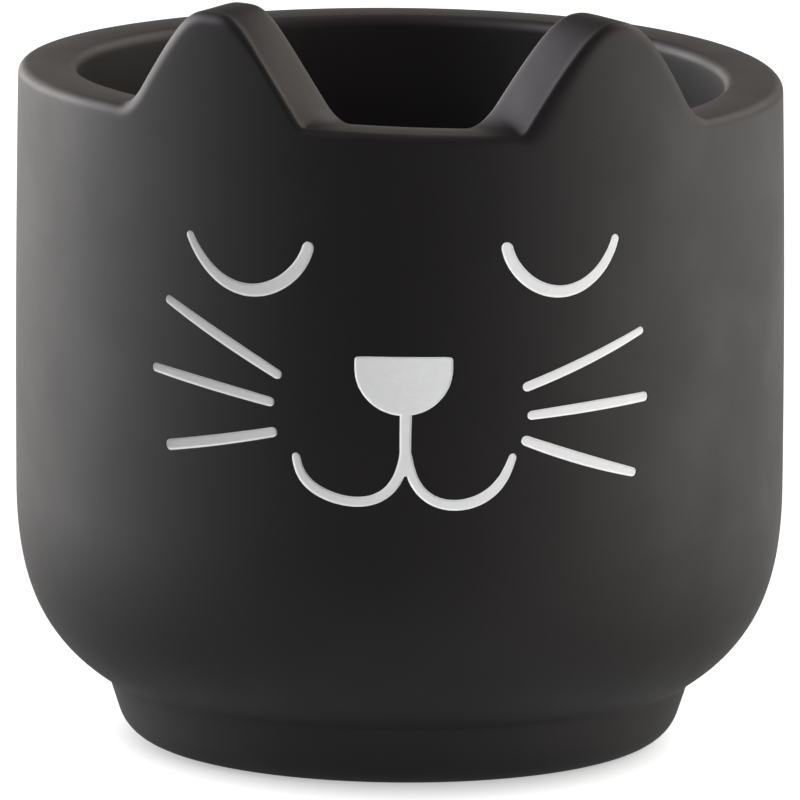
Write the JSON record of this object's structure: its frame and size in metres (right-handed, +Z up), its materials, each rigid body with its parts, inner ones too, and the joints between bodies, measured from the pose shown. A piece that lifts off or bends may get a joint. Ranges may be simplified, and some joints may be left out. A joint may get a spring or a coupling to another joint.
{
  "type": "animal shaped planter",
  "caption": "Round thick walled planter with cat ears on its rim, a narrow foot, an inlaid sleeping cat face and a lift-out drain bung.",
  "frame": {"origin": "centre of the foot's ring, on the ground", "axes": "+Z up along the pot's axis; the face and ears look along -Y; +X is the right of someone who looks at the face"},
  "size_m": [0.13, 0.13, 0.1338],
  "materials": {
    "matte_ceramic": "matte charcoal, soft sheen",
    "face_paint": "silvery white, brushed on and fired, satin",
    "rubber": "matte moulded rubber"
  },
  "bodies": {
    "pot": {"pot_body": "matte_ceramic", "left_eye": "face_paint", "right_eye": "face_paint", "nose": "face_paint", "mouth": "face_paint", "left_whisker_upper": "face_paint", "left_whisker_middle": "face_paint", "left_whisker_lower": "face_paint", "right_whisker_upper": "face_paint", "right_whisker_middle": "face_paint", "right_whisker_lower": "face_paint"},
    "plug": {"drain_plug": "rubber"}
  },
  "joints": [
    {"name": "plug_lift", "type": "slide", "parent": "pot", "child": "plug", "axis": [0, 0, 1], "range_m": [0, 0.125]}
  ]
}
